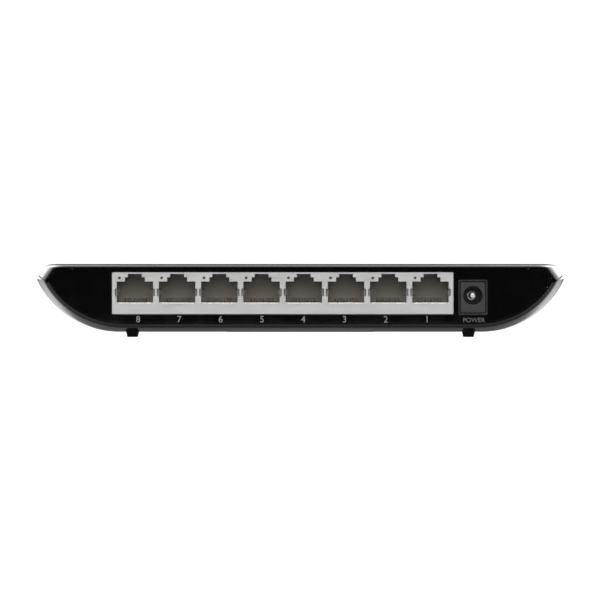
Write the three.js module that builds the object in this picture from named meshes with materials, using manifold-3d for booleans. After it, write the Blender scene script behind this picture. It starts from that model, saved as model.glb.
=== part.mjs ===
// Desktop network switch with eight ports, as an assembly of separate named parts.
// Millimetres, +Z up. The ports face -Y, the indicator lights face +Y, and the feet stand on z = 0.
// The origin is the centre of the footprint, on the surface that the feet stand on.

import * as THREE from 'three';
import { mergeVertices } from 'three/addons/utils/BufferGeometryUtils.js';
import Module from 'manifold-3d';

// ---------------------------------------------------------------- driving dimensions

const gap = 0.3;                  // clearance between parts that fit together
const overlap = 0.2;              // how far two shapes that make one part run into each other
const through = 1;                // how far a cutting shape runs past the face it cuts

// Case: a shallow boat-shaped shell whose sides, floor and top all curve in towards both ends.
const caseWidth = 180;            // across the widest line, at mid depth
const caseDepth = 90;             // over both end faces
const coverClearance = 0.34;      // over the port block, where the cover is lowest
const hullFloorZ = 1.5;           // underside of the base at mid depth
const hullRadius = 31.2;          // arc that joins the floor to the widest line
const widestDrop = 4.9;           // widest line below the crown of the cover
const bevelRun = 3.05;            // the bevel above the widest line comes in by this much
const bevelRise = 4.15;           // and rises by this much
const shoulderRun = 4.5;          // rounded shoulder between the bevel and the flat of the cover
const wall = 1.8;                 // wall of base and cover
const coverEdge = 1.0;            // cover's thickness where it laps over the end panels
const partingRise = 1.2;          // joint between base and cover above the widest line, at mid depth
const partingDip = 2.0;           // the joint runs this much lower at either end
const sideBow = 5.2;              // each side comes in by this much at either end
const floorRocker = 1.8;          // the floor is this much higher at either end
const crownDrop = 1.0;            // the cover is this much lower at either end
const bowPower = 2.2;             // how late the curve sets in, from mid depth to the ends
const caseSteps = 8;              // facets along the depth
const lipDepth = 1.8;             // cover's locating lip reaches this far below the joint
const lipWall = 1.2;

// End panels, let into both ends of the case.
const panelThickness = 1.8;
const panelRecess = 0.2;          // behind the end of the case
const stopRib = 1.2;              // rib in the base that the panel stands against

// Port block: a ganged connector with a stamped shield, in the rear panel.
const portCount = 8;
const portPitch = 13.97;
const portRowX = -5.9;            // middle of the row
const shieldEndMargin = 7.6;      // from the last socket's middle to the shield's end
const shieldHeight = 13.86;
const shieldSheet = 0.35;
const shieldDepth = 16.4;
const shieldRecess = 0.4;         // shield's face behind the end of the case
const socketWidth = 12.0;         // opening for the plug's body
const socketRise = 3.85;          // socket's floor above the shield's foot
const socketHeight = 6.95;
const latchStepWidth = 6.5;       // opening for the plug's latch, in two steps
const latchStepHeight = 1.4;
const latchWidth = 4.5;
const latchHeight = 1.15;
const fingerNotch = 0.6;          // notch each side of a socket for the shield's earthing finger
const fingerRise = 2.1;           // notch above the socket's floor
const fingerHeight = 2.5;
const fingerLength = 5.0;
const fingerLean = 6;             // degrees that a finger leans into the socket
const rivetRadius = 0.45;         // small hole beside each latch opening
const rivetOffsetX = -5.1;
const rivetRise = 8.15;           // hole above the socket's floor
const socketDepth = 13.4;

// Contacts: eight wires in each socket, which a plug presses down.
const wireCount = 8;
const wirePitch = 1.02;
const wireWidth = 0.45;
const wireThickness = 0.35;
const wireLength = 8.8;
const wireSlope = 13;             // degrees above the socket's floor
const wireRootDepth = 3.4;        // root of the wires behind the shield's face
const carrierWidth = 10.4;
const carrierDepth = 11.4;
const carrierInset = 2.2;         // carrier's front behind the shield's face
const carrierDrop = 0.15;         // carrier's top below the socket's opening
const wireLift = 0.2;             // wires' root above the carrier's top
const rootHalf = 0.9;             // half the length of the strip that joins the roots
const rootThickness = 0.5;

// Power inlet.
const inletSpacing = 6.45;        // barrel's axis beyond the shield's end
const inletRise = 6.5;            // barrel's axis above the board
const inletNoseWidth = 8.35;
const inletNoseBelow = 5.75;      // from the barrel's axis down to the nose's edge
const inletNoseAbove = 4.45;
const inletBodyWidth = 8.9;
const inletBodyAbove = 4.7;
const inletDepth = 14.0;
const inletRecess = 0.5;          // nose's face behind the end of the case
const barrelRadius = 3.1;
const barrelDepth = 9.6;
const pinRadius = 1.05;
const pinCollarRadius = 1.55;
const collarDepth = 1;
const pinInset = 1.3;             // tip of the pin behind the nose's face
const inletBezel = 0.65;          // sloped edge of the panel's opening
const springWidth = 2.2;
const springSheet = 0.3;
const springBite = 0.35;          // crest of the leaf inside the barrel
const springDrop = 0.6;           // flat of the leaf below the barrel
const springCrestInset = 3.2;     // crest of the leaf behind the nose's face
const springRunOut = 1.1;         // tip of the leaf in front of its crest
const springRise = 2.6;           // length of the ramp behind the crest
const springRootInset = 2;        // root of the leaf in front of the inlet's back

// Circuit board and what is on it.
const boardClearance = 0.7;       // under the board, where the floor is highest
const boardThickness = 1.6;
const boardBossMargin = 1.3;      // from the case's screw bosses to the board's edge
const boardFrontMargin = 5;       // from the front panel to the board's edge
const chipSize = 20;
const chipHeight = 1.4;
const chipX = -6;
const chipMargin = 21;            // from the transformers to the middle of the chip
const sinkSize = 25;
const sinkBase = 1.6;
const sinkHeight = 7;
const finCount = 8;
const finThickness = 1.1;
const transformerSize = [24, 13, 6.2];
const transformerMargin = 2.2;    // from the port block to the transformers
const padSize = 16;
const padThickness = 0.5;
const crystalSize = [11, 4.6, 3.6];
const flashSize = [5, 4, 1.6];
const regulatorSize = [6.5, 6, 2];
const inductorSize = [10, 10, 4.6];
const capacitorRadii = [4, 3.2];
const capacitorHeights = [11, 9];

// Indicator lights and their light guide.
const lightPitch = 9;
const lightRowX = 0;
const powerLightX = 49.5;
const lightMargin = 4;            // from the board's front edge to the middle of the lights
const lightSize = [2.0, 1.3, 0.9];
const guideWidth = 2.4;
const guideRise = 5;              // windows above the board
const guideHeight = 1.5;
const guideBar = 2;               // width of the bar and the legs that join the elbows

// Fasteners and feet.
const caseScrewSideInset = 22.5;  // screws from the widest line
const caseScrewEndInset = 29;     // screws from the end faces
const caseScrewSink = 0.3;        // head below the hull's surface
const screwHeadRadius = 2.7;
const screwHeadHeight = 1.6;
const screwRadius = 1.25;
const screwSlot = 0.6;
const caseScrewLength = 9.5;
const bossFloor = 2;              // plastic between the head and the end of the base's boss
const bossWall = 1.6;
const boardScrewInset = 6;        // from the board's side
const boardScrewMargin = 7;       // from the board's front edge
const boardPostMargin = 13;       // rear posts from the rear panel
const boardPostRadius = 3;
const boardScrewLength = 3.6;
const rearFootX = 56.5;
const frontFootX = 58.8;              // hidden by the rear pair from behind
const footY = 24;
const footLength = 12;
const footWidth = 4.2;
const footTaper = 0.4;            // each side of a foot comes in by this much towards the ground
const footPocket = 0.8;

// Underside: vents and the rating label.
const ventCount = 5;
const ventPitch = 5;
const ventLength = 18;
const ventWidth = 2;
const ventX = 43;
const ventY = -6;
const labelSize = [50, 26];
const labelThickness = 0.3;
const labelSink = 0.1;            // label's face above the floor's outside

// ---------------------------------------------------------------- heights, from the floor up

const boardTopZ = hullFloorZ + floorRocker + wall + boardClearance + boardThickness;
const seat = boardTopZ + gap;
const shieldBottomZ = seat;
const shieldTopZ = shieldBottomZ + shieldHeight;
const socketBottomZ = shieldBottomZ + socketRise;
const socketTopZ = socketBottomZ + socketHeight;
const latchStepTopZ = socketTopZ + latchStepHeight;
const latchTopZ = latchStepTopZ + latchHeight;
const fingerBottomZ = socketBottomZ + fingerRise;
const fingerTopZ = fingerBottomZ + fingerHeight;
const rivetZ = socketBottomZ + rivetRise;
const inletZ = boardTopZ + inletRise;
const inletNoseBottomZ = inletZ - inletNoseBelow;
const inletNoseTopZ = inletZ + inletNoseAbove;
const inletBodyTopZ = inletZ + inletBodyAbove;
const guideBottomZ = boardTopZ + guideRise;
const guideTopZ = guideBottomZ + guideHeight;
const caseHeight = shieldTopZ + coverClearance + wall + crownDrop;
const widestZ = caseHeight - widestDrop;
const partingZ = widestZ + partingRise;

// ---------------------------------------------------------------- colours

const plastic = (color, roughness) => new THREE.MeshStandardMaterial({ color, roughness, metalness: 0 });
const metal = (color, roughness) => new THREE.MeshStandardMaterial({ color, roughness, metalness: 1 });
const glossBlack = plastic(0x08080a, 0.1);
const smokedBlack = plastic(0x0a0a0b, 0.06);
const shieldSteel = metal(0xc4c4c4, 0.35);
const connectorGrey = plastic(0x3a3a39, 0.5);
const carrierBlack = plastic(0x1c1c1c, 0.6);
const gold = metal(0xc9a24a, 0.3);
const inletPlastic = plastic(0x343434, 0.5);
const brightSteel = metal(0xd8d8d8, 0.2);
const boardGreen = plastic(0x145a32, 0.5);
const chipBlack = plastic(0x18181a, 0.6);
const padGrey = plastic(0x9aa0a5, 0.8);
const aluminium = metal(0xb9bcc0, 0.4);
const sleeveBlack = plastic(0x101012, 0.4);
const ferriteGrey = plastic(0x3c3d40, 0.7);
const lampWhite = plastic(0xe9ead8, 0.4);
const clearAcrylic = plastic(0xdfe6e4, 0.1);
const rubberBlack = plastic(0x0c0c0c, 0.8);
const labelSilver = plastic(0xb8babb, 0.5);

// ---------------------------------------------------------------- solids

const wasm = await Module();
wasm.setup();

// A closed geometry as a manifold-3d solid.
function solid(geometry) {
  const bare = geometry.clone();
  bare.deleteAttribute('normal');
  bare.deleteAttribute('uv');
  const merged = mergeVertices(bare, 1e-4);
  return new wasm.Manifold(new wasm.Mesh({
    numProp: 3,
    vertProperties: merged.attributes.position.array,
    triVerts: new Uint32Array(merged.index.array),
  }));
}

function geometryOf(body) {
  const mesh = body.getMesh();
  const geometry = new THREE.BufferGeometry();
  geometry.setAttribute('position', new THREE.BufferAttribute(mesh.vertProperties, 3));
  geometry.setIndex(new THREE.BufferAttribute(mesh.triVerts, 1));
  geometry.computeVertexNormals();
  return geometry;
}

// A box from its two ranges on each axis.
function block([x0, x1], [y0, y1], [z0, z1]) {
  const geometry = new THREE.BoxGeometry(x1 - x0, y1 - y0, z1 - z0);
  return solid(geometry.translate((x0 + x1) / 2, (y0 + y1) / 2, (z0 + z1) / 2));
}

// A range of the given length about a middle.
const about = (middle, length) => [middle - length / 2, middle + length / 2];

// An upright round column.
function column(x, y, [z0, z1], radius, sides = 16) {
  const geometry = new THREE.CylinderGeometry(radius, radius, z1 - z0, sides);
  return solid(geometry.rotateX(Math.PI / 2).translate(x, y, (z0 + z1) / 2));
}

// A round bar or bore along Y.
function bar(x, z, [y0, y1], radius, sides = 20) {
  const geometry = new THREE.CylinderGeometry(radius, radius, y1 - y0, sides);
  return solid(geometry.translate(x, (y0 + y1) / 2, z));
}

// A shape drawn in X and Z, carried along Y.
function alongY(shape, [y0, y1], steps = 1, curveSegments = 6) {
  const settings = { depth: y1 - y0, steps, curveSegments, bevelEnabled: false };
  return new THREE.ExtrudeGeometry(shape, settings).rotateX(Math.PI / 2).translate(0, y1, 0);
}

// A shape drawn in X and Y, carried upwards.
function alongZ(shape, [z0, z1], curveSegments = 6) {
  const settings = { depth: z1 - z0, curveSegments, bevelEnabled: false };
  return new THREE.ExtrudeGeometry(shape, settings).translate(0, 0, z0);
}

// A shape drawn in Y and Z, carried along X.
function alongX(shape, [x0, x1]) {
  const geometry = new THREE.ExtrudeGeometry(shape, { depth: x1 - x0, bevelEnabled: false });
  return geometry.rotateX(Math.PI / 2).rotateZ(Math.PI / 2).translate(x0, 0, 0);
}

const polygon = (points) => new THREE.Shape(points.map(([a, b]) => new THREE.Vector2(a, b)));

const join = (...solids) => solids.reduce((a, b) => a.add(b));
const cut = (body, ...tools) => tools.reduce((a, b) => a.subtract(b), body);

const group = new THREE.Group();

function add(name, body, material) {
  const mesh = new THREE.Mesh(body.isBufferGeometry ? body : geometryOf(body), material);
  mesh.name = name;
  group.add(mesh);
  return mesh;
}

// ---------------------------------------------------------------- form of the case

const halfWidth = caseWidth / 2;
const halfDepth = caseDepth / 2;
const caseScrewX = halfWidth - caseScrewSideInset;
const caseScrewY = halfDepth - caseScrewEndInset;
const arcCentreZ = hullFloorZ + hullRadius;
const widestAngle = Math.asin((widestZ - arcCentreZ) / hullRadius);
const floorHalf = halfWidth - hullRadius * Math.cos(widestAngle);
const bevelLength = Math.hypot(bevelRun, bevelRise);
const bevelInward = new THREE.Vector2(-bevelRise / bevelLength, -bevelRun / bevelLength);
const arcInward = new THREE.Vector2(-Math.cos(widestAngle), -Math.sin(widestAngle));
const mitre = arcInward.clone().add(bevelInward).divideScalar(1 + arcInward.dot(bevelInward));

// How much of the ends' curve has set in at this place along the depth: 0 at the middle, 1 at either end.
const bowShare = (y) => Math.min(1, Math.abs(y) / halfDepth) ** bowPower;

// How far a point of this height rises at either end.
function endLift(z) {
  const share = Math.min(1, Math.max(0, (z - hullFloorZ) / (widestZ - hullFloorZ)));
  return floorRocker + share * (-crownDrop - floorRocker);
}

// Carries a point of the mid-depth section to its place along the depth.
function bowed(x, y, z) {
  const t = bowShare(y);
  return new THREE.Vector3(x * (1 - t * sideBow / halfWidth), y, z + t * endLift(z));
}

function pillow(geometry) {
  const position = geometry.attributes.position;
  for (let i = 0; i < position.count; i += 1) {
    const p = bowed(position.getX(i), position.getY(i), position.getZ(i));
    position.setXYZ(i, p.x, p.y, p.z);
  }
  return geometry;
}

// Where the bevel, moved in by inset, stands at a height.
function bevelX(inset, z) {
  const fromX = halfWidth + inset * bevelInward.x;
  const fromZ = widestZ + inset * bevelInward.y;
  return fromX - (z - fromZ) * bevelRun / bevelRise;
}

// The case's outline at mid depth, moved in by inset at the sides and floor and by topInset at the top.
function section(inset, topInset = inset) {
  const radius = hullRadius - inset;
  const cornerAngle = Math.asin((widestZ + inset * mitre.y - arcCentreZ) / radius);
  const topZ = caseHeight - topInset;
  const shoulderZ = Math.min(widestZ + bevelRise, topZ - 0.01);
  const shoulderX = bevelX(inset, shoulderZ);
  const flatX = shoulderX - shoulderRun;
  const controlX = bevelX(inset, topZ);
  const shape = new THREE.Shape();
  shape.absarc(floorHalf, arcCentreZ, radius, -Math.PI / 2, cornerAngle, false);
  shape.lineTo(shoulderX, shoulderZ);
  if (inset === 0) shape.quadraticCurveTo(controlX, topZ, flatX, topZ);
  else shape.lineTo(controlX, topZ).lineTo(-controlX, topZ);
  if (inset === 0) shape.lineTo(-flatX, topZ).quadraticCurveTo(-controlX, topZ, -shoulderX, shoulderZ);
  else shape.lineTo(-shoulderX, shoulderZ);
  shape.absarc(-floorHalf, arcCentreZ, radius, Math.PI - cornerAngle, 1.5 * Math.PI, false);
  return shape;
}

const hull = (inset, topInset, range, steps) => solid(pillow(alongY(section(inset, topInset), range, steps)));

// Everything above, or below, the joint between base and cover, moved up by offset.
function sideOfJoint(above, offset) {
  const reach = halfDepth + 5;
  const farZ = above ? caseHeight + 20 : -20;
  const points = [];
  for (let i = -caseSteps; i <= caseSteps; i += 1) {
    const y = reach * i / caseSteps;
    points.push([y, partingZ - partingDip * bowShare(y) + offset]);
  }
  points.push([reach, farZ], [-reach, farZ]);
  return solid(alongX(polygon(points), [-caseWidth, caseWidth]));
}

const panelOuterY = halfDepth - panelRecess;
const panelInnerY = panelOuterY - panelThickness;
const caseBossRadius = screwHeadRadius + gap + 1.2;
const boardHalfWidth = caseScrewX - caseBossRadius - boardBossMargin;
const boardFrontY = panelInnerY - boardFrontMargin;
const boardScrewX = boardHalfWidth - boardScrewInset;
const boardScrewY = boardFrontY - boardScrewMargin;
const boardPostY = boardPostMargin - panelInnerY;
const lightY = boardFrontY - lightMargin;

const endRange = (y0, y1, end) => (end > 0 ? [y0, y1] : [-y1, -y0]);

// The space that an end panel drops into, at the end of the case that the sign of end names.
const panelPocket = (end) => hull(wall, coverEdge, endRange(panelInnerY - gap, halfDepth + 2, end), 2);

const wholeCase = hull(0, 0, [-halfDepth, halfDepth], caseSteps);
const caseInside = hull(wall, wall, [-halfDepth - 2, halfDepth + 2], caseSteps);
const caseShell = cut(wholeCase, caseInside, panelPocket(1), panelPocket(-1));

// Where the case's outside lies under a point, from the mid-depth outline and the bow.
function floorUnder(x, y) {
  const t = bowShare(y);
  const midX = Math.abs(x) / (1 - t * sideBow / halfWidth);
  const overArc = Math.max(0, midX - floorHalf);
  const midZ = arcCentreZ - Math.sqrt(hullRadius ** 2 - overArc ** 2);
  return midZ + t * endLift(midZ);
}

const corners = [[-1, -1], [1, -1], [-1, 1], [1, 1]];

// ---------------------------------------------------------------- base shell

function slotShape(x, y, length, slotWidth) {
  const shape = new THREE.Shape();
  const reach = (length - slotWidth) / 2;
  shape.absarc(x + reach, y, slotWidth / 2, -Math.PI / 2, Math.PI / 2, false);
  shape.absarc(x - reach, y, slotWidth / 2, Math.PI / 2, 1.5 * Math.PI, false);
  shape.closePath();
  return shape;
}

// Where the board rests on its posts.
const postTopZ = boardTopZ - boardThickness - gap;

// A ledge inside the base that keeps an end panel from moving inwards.
function panelLedge(end) {
  const range = endRange(panelInnerY - gap - stopRib, panelInnerY - gap, end);
  const ring = cut(hull(wall - overlap, wall - overlap, range, 1),
    hull(wall + stopRib, wall + stopRib, endRange(0, halfDepth, end), 1));
  return ring.intersect(block([-halfWidth, halfWidth], [-halfDepth, halfDepth], [0, postTopZ]));
}

const caseScrewHeadZ = floorUnder(caseScrewX + screwHeadRadius, caseScrewY) + caseScrewSink;
const caseScrewTipZ = caseScrewHeadZ + screwHeadHeight + caseScrewLength;
const counterboreTopZ = caseScrewHeadZ + screwHeadHeight + gap;
const bossMeetingZ = counterboreTopZ + bossFloor;
const labelPocketZ = hullFloorZ + labelThickness + gap + labelSink;

const baseCurve = caseShell.intersect(sideOfJoint(false, -gap / 2));
const wholeHull = wholeCase.intersect(sideOfJoint(false, -gap));

const caseBosses = corners.map(([sx, sy]) =>
  column(sx * caseScrewX, sy * caseScrewY, [0, bossMeetingZ], caseBossRadius).intersect(wholeHull));
const boardPosts = corners.map(([sx, sy]) => {
  const y = sy > 0 ? boardScrewY : boardPostY;
  return column(sx * boardScrewX, y, [hullFloorZ + wall / 2, postTopZ], boardPostRadius);
});

const footX = (sy) => (sy < 0 ? rearFootX : frontFootX);

let base = join(baseCurve, panelLedge(1), panelLedge(-1), ...caseBosses, ...boardPosts);

for (const [sx, sy] of corners) {
  base = cut(base,
    column(sx * caseScrewX, sy * caseScrewY, [-through, counterboreTopZ], screwHeadRadius + gap),
    column(sx * caseScrewX, sy * caseScrewY, [0, bossMeetingZ + through], screwRadius + gap),
    block(about(sx * footX(sy), footWidth + 2 * gap), about(sy * footY, footLength + 2 * gap),
      [0, floorUnder(rearFootX, footY) + footPocket]));
}
for (const side of [-1, 1]) {
  base = cut(base,
    column(side * boardScrewX, boardScrewY, [hullFloorZ + wall, postTopZ + through], screwRadius + gap, 12));
  for (let i = 0; i < ventCount; i += 1) {
    const y = ventY + (i - (ventCount - 1) / 2) * ventPitch;
    base = cut(base, solid(alongZ(slotShape(side * ventX, y, ventLength, ventWidth), [0, postTopZ], 2)));
  }
}
const labelRoom = labelSize.map((size) => size + 2 * gap);
base = cut(base, block(about(0, labelRoom[0]), about(ventY, labelRoom[1]), [0, labelPocketZ]));
add('base_shell', base, glossBlack);

// ---------------------------------------------------------------- top cover

const coverUnderside = caseHeight - wall;
const coverBossZ = [bossMeetingZ + gap, coverUnderside + wall / 4];
const coverBosses = corners.map(([sx, sy]) =>
  cut(column(sx * caseScrewX, sy * caseScrewY, coverBossZ, screwRadius + bossWall),
    column(sx * caseScrewX, sy * caseScrewY, [bossMeetingZ, caseScrewTipZ + through], screwRadius + gap)));
const lipEnd = panelInnerY - gap - stopRib;
const lipRing = cut(hull(wall + gap, wall - overlap, [-lipEnd, lipEnd], caseSteps),
  hull(wall + gap + lipWall, wall, [-halfDepth, halfDepth], caseSteps));
const lip = lipRing.intersect(sideOfJoint(true, -lipDepth));
const cover = join(caseShell.intersect(sideOfJoint(true, gap / 2)), lip, ...coverBosses);
add('top_cover', cover, glossBlack);

// ---------------------------------------------------------------- end panels

const panelBlank = (end) => hull(wall + gap, coverEdge + gap, endRange(panelInnerY, panelOuterY, end), 1);

const shieldWidth = (portCount - 1) * portPitch + 2 * shieldEndMargin;
const shieldLeftX = portRowX - shieldWidth / 2;
const shieldRightX = portRowX + shieldWidth / 2;
const inletX = shieldRightX + inletSpacing;
const portX = (n) => portRowX + ((portCount + 1) / 2 - n) * portPitch;
const ports = Array.from({ length: portCount }, (_, i) => i + 1);
const lightX = (n) => lightRowX + ((portCount + 1) / 2 - n) * lightPitch;
const lights = [powerLightX, ...ports.map(lightX)];

// A four-sided opening along Y that widens from its inner size to its outer size.
function bezelCut(x, z, innerSize, slope, [outerY, innerY]) {
  const depth = Math.abs(outerY - innerY);
  const geometry = new THREE.CylinderGeometry(1, 1, depth, 4).rotateY(Math.PI / 4);
  const position = geometry.attributes.position;
  for (let i = 0; i < position.count; i += 1) {
    const grown = position.getY(i) < 0 ? 2 * slope : 0;
    const sideX = Math.sign(Math.round(position.getX(i)));
    const sideZ = Math.sign(Math.round(position.getZ(i)));
    position.setX(i, sideX * (innerSize[0] + grown) / 2);
    position.setZ(i, sideZ * (innerSize[1] + grown) / 2);
  }
  return solid(geometry.translate(x, (outerY + innerY) / 2, z));
}

const inletOpening = [inletNoseWidth + 2 * gap, inletNoseTopZ - inletNoseBottomZ + 2 * gap];
const inletMiddleZ = (inletNoseTopZ + inletNoseBottomZ) / 2;
const rearPanel = cut(panelBlank(-1),
  block([shieldLeftX - gap, shieldRightX + gap], [-halfDepth - through, -panelInnerY + through],
    [shieldBottomZ - gap, shieldTopZ + gap]),
  block(about(inletX, inletOpening[0]), [-halfDepth - through, -panelInnerY + through],
    about(inletMiddleZ, inletOpening[1])),
  bezelCut(inletX, inletMiddleZ, inletOpening, inletBezel, [-panelOuterY - 0.01, -panelOuterY + inletBezel]));
add('rear_panel', rearPanel, glossBlack);

const frontPanel = cut(panelBlank(1),
  ...lights.map((x) => block(about(x, guideWidth + 2 * gap), [panelInnerY - through, halfDepth + through],
    [guideBottomZ - gap, guideTopZ + gap])));
add('front_panel', frontPanel, smokedBlack);

// ---------------------------------------------------------------- port block

const shieldFaceY = -halfDepth + shieldRecess;
const shieldBackY = shieldFaceY + shieldDepth;

// The stepped outline of one socket, wider at the middle where the earthing fingers are.
function socketShape(x, grow, notch) {
  const half = socketWidth / 2 + grow;
  const step = latchStepWidth / 2 + grow;
  const latch = latchWidth / 2 + grow;
  const side = [[half, socketBottomZ - grow], [half, fingerBottomZ], [half + notch, fingerBottomZ],
    [half + notch, fingerTopZ], [half, fingerTopZ], [half, socketTopZ + grow], [step, socketTopZ + grow],
    [step, latchStepTopZ + grow], [latch, latchStepTopZ + grow], [latch, latchTopZ + grow]];
  const right = side.map(([dx, z]) => [x + dx, z]);
  const left = side.map(([dx, z]) => [x - dx, z]).reverse();
  return polygon([...right, ...left]);
}

// One earthing finger, cut from the side of a socket's opening and leaning into the socket.
function earthingFinger(x, side) {
  const geometry = new THREE.BoxGeometry(shieldSheet, fingerLength, fingerTopZ - fingerBottomZ - 2 * gap);
  geometry.translate(0, fingerLength / 2, 0);
  geometry.rotateZ(side * THREE.MathUtils.degToRad(fingerLean));
  const rootX = x + side * (socketWidth / 2 + fingerNotch - shieldSheet / 2);
  return solid(geometry.translate(rootX, shieldFaceY + overlap / 2, (fingerTopZ + fingerBottomZ) / 2));
}

function fingerBridge(x, side) {
  const outer = x + side * (socketWidth / 2 + fingerNotch + overlap);
  const inner = x + side * (socketWidth / 2 + fingerNotch - shieldSheet);
  return block([Math.min(outer, inner), Math.max(outer, inner)], [shieldFaceY, shieldFaceY + shieldSheet],
    [fingerBottomZ + gap, fingerTopZ - gap]);
}

let shield = cut(
  block([shieldLeftX, shieldRightX], [shieldFaceY, shieldBackY], [shieldBottomZ, shieldTopZ]),
  block([shieldLeftX + shieldSheet, shieldRightX - shieldSheet],
    [shieldFaceY + shieldSheet, shieldBackY - shieldSheet],
    [shieldBottomZ - through, shieldTopZ - shieldSheet]));
for (const n of ports) {
  const throughFace = [shieldFaceY - through, shieldFaceY + shieldSheet + gap];
  shield = cut(shield,
    solid(alongY(socketShape(portX(n), 0, fingerNotch), throughFace)),
    bar(portX(n) + rivetOffsetX, rivetZ, throughFace, rivetRadius, 12));
  for (const side of [-1, 1]) {
    shield = join(shield, fingerBridge(portX(n), side), earthingFinger(portX(n), side));
  }
}
add('port_shield', shield, shieldSteel);

const housingFrontY = shieldFaceY + shieldSheet + gap;
const housingBackY = shieldBackY - shieldSheet - gap;
const socketEndY = shieldFaceY + socketDepth;
const fingerEndY = shieldFaceY + fingerLength + 1;
const carrierFrontY = shieldFaceY + carrierInset;
const carrierTopZ = socketBottomZ - carrierDrop;
const wireRootY = shieldFaceY + wireRootDepth;
const wireRootZ = carrierTopZ + wireLift;

let housing = block([shieldLeftX + shieldSheet + gap, shieldRightX - shieldSheet - gap],
  [housingFrontY, housingBackY], [shieldBottomZ + gap, shieldTopZ - shieldSheet - gap]);
for (const n of ports) {
  housing = cut(housing,
    solid(alongY(socketShape(portX(n), 0, 0), [housingFrontY - through, socketEndY])),
    block(about(portX(n), socketWidth + 2 * fingerNotch + gap), [housingFrontY - through, fingerEndY],
      [fingerBottomZ, fingerTopZ]),
    block(about(portX(n), carrierWidth + 2 * gap), [carrierFrontY - gap, carrierFrontY + carrierDepth + gap],
      [0, socketBottomZ + overlap]));
}
add('port_housing', housing, connectorGrey);

// The insulator under each socket that holds its wires; a groove near its front takes their root.
const rootStripZ = [wireRootZ - rootThickness, wireRootZ];
const grooveY = [wireRootY - rootHalf - gap, wireRootY + rootHalf + 2 * gap];
for (const n of ports) {
  const carrier = cut(
    block(about(portX(n), carrierWidth), [carrierFrontY, carrierFrontY + carrierDepth],
      [seat + gap, carrierTopZ]),
    block(about(portX(n), carrierWidth + through), grooveY, [rootStripZ[0] - gap, carrierTopZ + through]));
  add(`contact_carrier_${n}`, carrier, carrierBlack);
}

// Eight wires on a root strip, sloping up and back into the socket.
function contactWires(x) {
  const reach = (wireCount - 1) * wirePitch + wireWidth;
  let wires = block(about(x, reach + 0.6), about(wireRootY, 2 * rootHalf), rootStripZ);
  for (let i = 0; i < wireCount; i += 1) {
    const wireX = x + (i - (wireCount - 1) / 2) * wirePitch;
    const geometry = new THREE.BoxGeometry(wireWidth, wireLength, wireThickness);
    geometry.translate(0, wireLength / 2, 0);
    geometry.rotateX(THREE.MathUtils.degToRad(wireSlope));
    wires = join(wires, solid(geometry.translate(wireX, wireRootY, wireRootZ)));
  }
  return wires;
}
for (const n of ports) add(`contact_springs_${n}`, contactWires(portX(n)), gold);

// ---------------------------------------------------------------- power inlet

const noseFaceY = -halfDepth + inletRecess;
const inletBodyY = -panelInnerY + gap;
const inletBackY = noseFaceY + inletDepth;
const barrelEndY = noseFaceY + barrelDepth;
const springTopZ = inletZ - barrelRadius + springBite;
const springRootY = inletBackY - springRootInset;
const springRootZ = inletZ - barrelRadius - springDrop;
const springCrestY = noseFaceY + springCrestInset;
const springTipY = springCrestY - springRunOut;
const springFloorZ = springRootZ - springSheet - 1;

const inletBody = cut(
  join(
    block(about(inletX, inletNoseWidth), [noseFaceY, inletBodyY + 1], [inletNoseBottomZ, inletNoseTopZ]),
    block(about(inletX, inletBodyWidth), [inletBodyY, inletBackY], [seat, inletBodyTopZ])),
  bar(inletX, inletZ, [noseFaceY - through, barrelEndY], barrelRadius, 32),
  bar(inletX, inletZ, [barrelEndY - through, inletBackY + through], pinRadius + gap, 16),
  bar(inletX, inletZ, [barrelEndY - through, barrelEndY + collarDepth], pinCollarRadius + gap),
  block(about(inletX, springWidth + 2 * gap), [springTipY - 2 * gap, inletBackY + through],
    [springFloorZ, inletZ - barrelRadius / 2]));
add('dc_jack_body', inletBody, inletPlastic);

// The centre pin, turned: round tip, straight shank and a collar that seats at the bottom of the barrel.
const pinTipY = noseFaceY + pinInset;
const pinProfile = new THREE.Path();
pinProfile.moveTo(0, pinTipY);
pinProfile.absarc(0, pinTipY + pinRadius, pinRadius, -Math.PI / 2, 0, false);
pinProfile.lineTo(pinRadius, barrelEndY - gap);
pinProfile.lineTo(pinCollarRadius, barrelEndY - gap);
pinProfile.lineTo(pinCollarRadius, barrelEndY + collarDepth - gap);
pinProfile.lineTo(pinRadius, barrelEndY + collarDepth - gap);
pinProfile.lineTo(pinRadius, inletBackY - gap);
pinProfile.lineTo(0, inletBackY - gap);
const inletPin = new THREE.LatheGeometry(pinProfile.getPoints(3), 14).translate(inletX, 0, inletZ);
add('dc_jack_pin', solid(inletPin), brightSteel);

// The sleeve contact: a leaf from the back of the inlet that rises into the barrel near its mouth.
const springLine = [[springRootY, springRootZ], [springCrestY + springRise, springRootZ],
  [springCrestY, springTopZ], [springTipY, springRootZ + gap]];
const springUnder = springLine.map(([y, z]) => [y, z - springSheet]).reverse();
add('dc_jack_spring',
  solid(alongX(polygon([...springLine, ...springUnder].reverse()), about(inletX, springWidth))), brightSteel);

// ---------------------------------------------------------------- circuit board

const boardRearY = -panelInnerY + gap;
let board = block([-boardHalfWidth, boardHalfWidth], [boardRearY, boardFrontY],
  [boardTopZ - boardThickness, boardTopZ]);
for (const side of [-1, 1]) {
  board = cut(board, column(side * boardScrewX, boardScrewY, [0, boardTopZ + through], screwRadius + gap));
}
add('main_board', board, boardGreen);

function partOnBoard(x, y, [sizeX, sizeY, sizeZ]) {
  return block(about(x, sizeX), about(y, sizeY), [seat, seat + sizeZ]);
}

const chipY = shieldBackY + transformerMargin + transformerSize[1] + chipMargin;
add('switch_chip', partOnBoard(chipX, chipY, [chipSize, chipSize, chipHeight]), chipBlack);
const padZ = seat + chipHeight + gap;
add('thermal_pad', block(about(chipX, padSize), about(chipY, padSize), [padZ, padZ + padThickness]), padGrey);

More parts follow.
